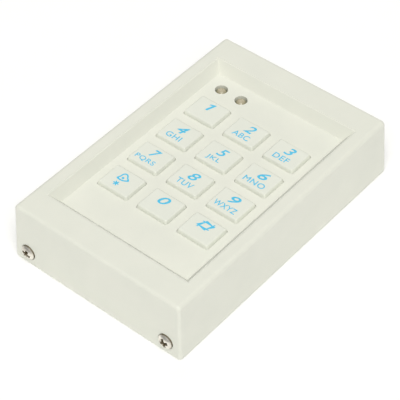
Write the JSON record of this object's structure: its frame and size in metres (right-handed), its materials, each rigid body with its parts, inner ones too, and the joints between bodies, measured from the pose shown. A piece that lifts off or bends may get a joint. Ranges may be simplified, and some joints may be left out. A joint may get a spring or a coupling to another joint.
{
  "type": "alarm keypad panel",
  "caption": "Slim white alarm keypad with recessed push keys, status lights and a screwed-on back plate for wall mounting.",
  "frame": {"origin": "middle of the flat back face, at the centre of the wall fixing pattern", "axes": "+X across the keypad to the right, +Y up the keypad towards the status lights, +Z out of the front"},
  "size_m": [0.0798, 0.1231, 0.0265],
  "materials": {
    "case_plastic": "fine satin moulded ABS, warm off-white",
    "key_plastic": "smooth satin ABS",
    "legend_ink": "sky blue printed ink",
    "plate_plastic": "moulded ABS",
    "nickel_screws": "bright nickel plate",
    "zinc_screws": "zinc plate",
    "brass": "satin",
    "silicone": "matte, slightly cloudy",
    "carbon_rubber": "matte",
    "gold_pads": "gold flash",
    "board_laminate": "green solder resist",
    "led_epoxy": "clear epoxy over a dark cup",
    "tinned_leads": "tinned",
    "black_plastic": "fine matt",
    "terminal_plastic": "moulded nylon",
    "bare_can": "drawn can",
    "spring_wire": "bright spring wire",
    "white_nylon": "nylon"
  },
  "bodies": {
    "housing": {"front_cover": "case_plastic", "back_plate": "plate_plastic", "end_screws": "nickel_screws", "lug_inserts": "brass", "dome_mat": "silicone", "key_contacts": "gold_pads", "circuit_board": "board_laminate", "board_screws": "zinc_screws", "left_led": "led_epoxy", "right_led": "led_epoxy", "left_led_leads": "tinned_leads", "right_led_leads": "tinned_leads", "sounder_case": "black_plastic", "sounder_disc": "brass", "terminal_block": "terminal_plastic", "terminal_screws": "zinc_screws", "terminal_pins": "tinned_leads", "controller_chip": "black_plastic", "controller_pins": "tinned_leads", "crystal": "bare_can", "regulator": "black_plastic", "capacitor_cans": "bare_can", "capacitor_bases": "black_plastic", "chip_resistors": "black_plastic", "tamper_body": "black_plastic", "tamper_spring": "spring_wire"},
    "key_1": {"key_1_cap": "key_plastic", "key_1_pill": "carbon_rubber"},
    "key_2": {"key_2_cap": "key_plastic", "key_2_pill": "carbon_rubber"},
    "key_3": {"key_3_cap": "key_plastic", "key_3_pill": "carbon_rubber"},
    "key_4": {"key_4_cap": "key_plastic", "key_4_pill": "carbon_rubber"},
    "key_5": {"key_5_cap": "key_plastic", "key_5_pill": "carbon_rubber"},
    "key_6": {"key_6_cap": "key_plastic", "key_6_pill": "carbon_rubber"},
    "key_7": {"key_7_cap": "key_plastic", "key_7_pill": "carbon_rubber"},
    "key_8": {"key_8_cap": "key_plastic", "key_8_pill": "carbon_rubber"},
    "key_9": {"key_9_cap": "key_plastic", "key_9_pill": "carbon_rubber"},
    "key_bell": {"key_bell_cap": "key_plastic", "key_bell_pill": "carbon_rubber"},
    "key_0": {"key_0_cap": "key_plastic", "key_0_pill": "carbon_rubber"},
    "key_hash": {"key_hash_cap": "key_plastic", "key_hash_pill": "carbon_rubber"},
    "tamper_foot": {"tamper_plunger": "white_nylon"}
  },
  "joints": [
    {"name": "key_1_press", "type": "slide", "parent": "housing", "child": "key_1", "axis": [0, 0, -1], "range_m": [0, 0.001], "stiffness_N_per_m": 1200, "deforming": ["dome_mat"]},
    {"name": "key_2_press", "type": "slide", "parent": "housing", "child": "key_2", "axis": [0, 0, -1], "range_m": [0, 0.001], "stiffness_N_per_m": 1200, "deforming": ["dome_mat"]},
    {"name": "key_3_press", "type": "slide", "parent": "housing", "child": "key_3", "axis": [0, 0, -1], "range_m": [0, 0.001], "stiffness_N_per_m": 1200, "deforming": ["dome_mat"]},
    {"name": "key_4_press", "type": "slide", "parent": "housing", "child": "key_4", "axis": [0, 0, -1], "range_m": [0, 0.001], "stiffness_N_per_m": 1200, "deforming": ["dome_mat"]},
    {"name": "key_5_press", "type": "slide", "parent": "housing", "child": "key_5", "axis": [0, 0, -1], "range_m": [0, 0.001], "stiffness_N_per_m": 1200, "deforming": ["dome_mat"]},
    {"name": "key_6_press", "type": "slide", "parent": "housing", "child": "key_6", "axis": [0, 0, -1], "range_m": [0, 0.001], "stiffness_N_per_m": 1200, "deforming": ["dome_mat"]},
    {"name": "key_7_press", "type": "slide", "parent": "housing", "child": "key_7", "axis": [0, 0, -1], "range_m": [0, 0.001], "stiffness_N_per_m": 1200, "deforming": ["dome_mat"]},
    {"name": "key_8_press", "type": "slide", "parent": "housing", "child": "key_8", "axis": [0, 0, -1], "range_m": [0, 0.001], "stiffness_N_per_m": 1200, "deforming": ["dome_mat"]},
    {"name": "key_9_press", "type": "slide", "parent": "housing", "child": "key_9", "axis": [0, 0, -1], "range_m": [0, 0.001], "stiffness_N_per_m": 1200, "deforming": ["dome_mat"]},
    {"name": "key_bell_press", "type": "slide", "parent": "housing", "child": "key_bell", "axis": [0, 0, -1], "range_m": [0, 0.001], "stiffness_N_per_m": 1200, "deforming": ["dome_mat"]},
    {"name": "key_0_press", "type": "slide", "parent": "housing", "child": "key_0", "axis": [0, 0, -1], "range_m": [0, 0.001], "stiffness_N_per_m": 1200, "deforming": ["dome_mat"]},
    {"name": "key_hash_press", "type": "slide", "parent": "housing", "child": "key_hash", "axis": [0, 0, -1], "range_m": [0, 0.001], "stiffness_N_per_m": 1200, "deforming": ["dome_mat"]},
    {"name": "tamper_plunger_slide", "type": "slide", "parent": "housing", "child": "tamper_foot", "axis": [0, 0, 1], "range_m": [0, 0.001], "stiffness_N_per_m": 250, "deforming": ["tamper_spring"]}
  ]
}
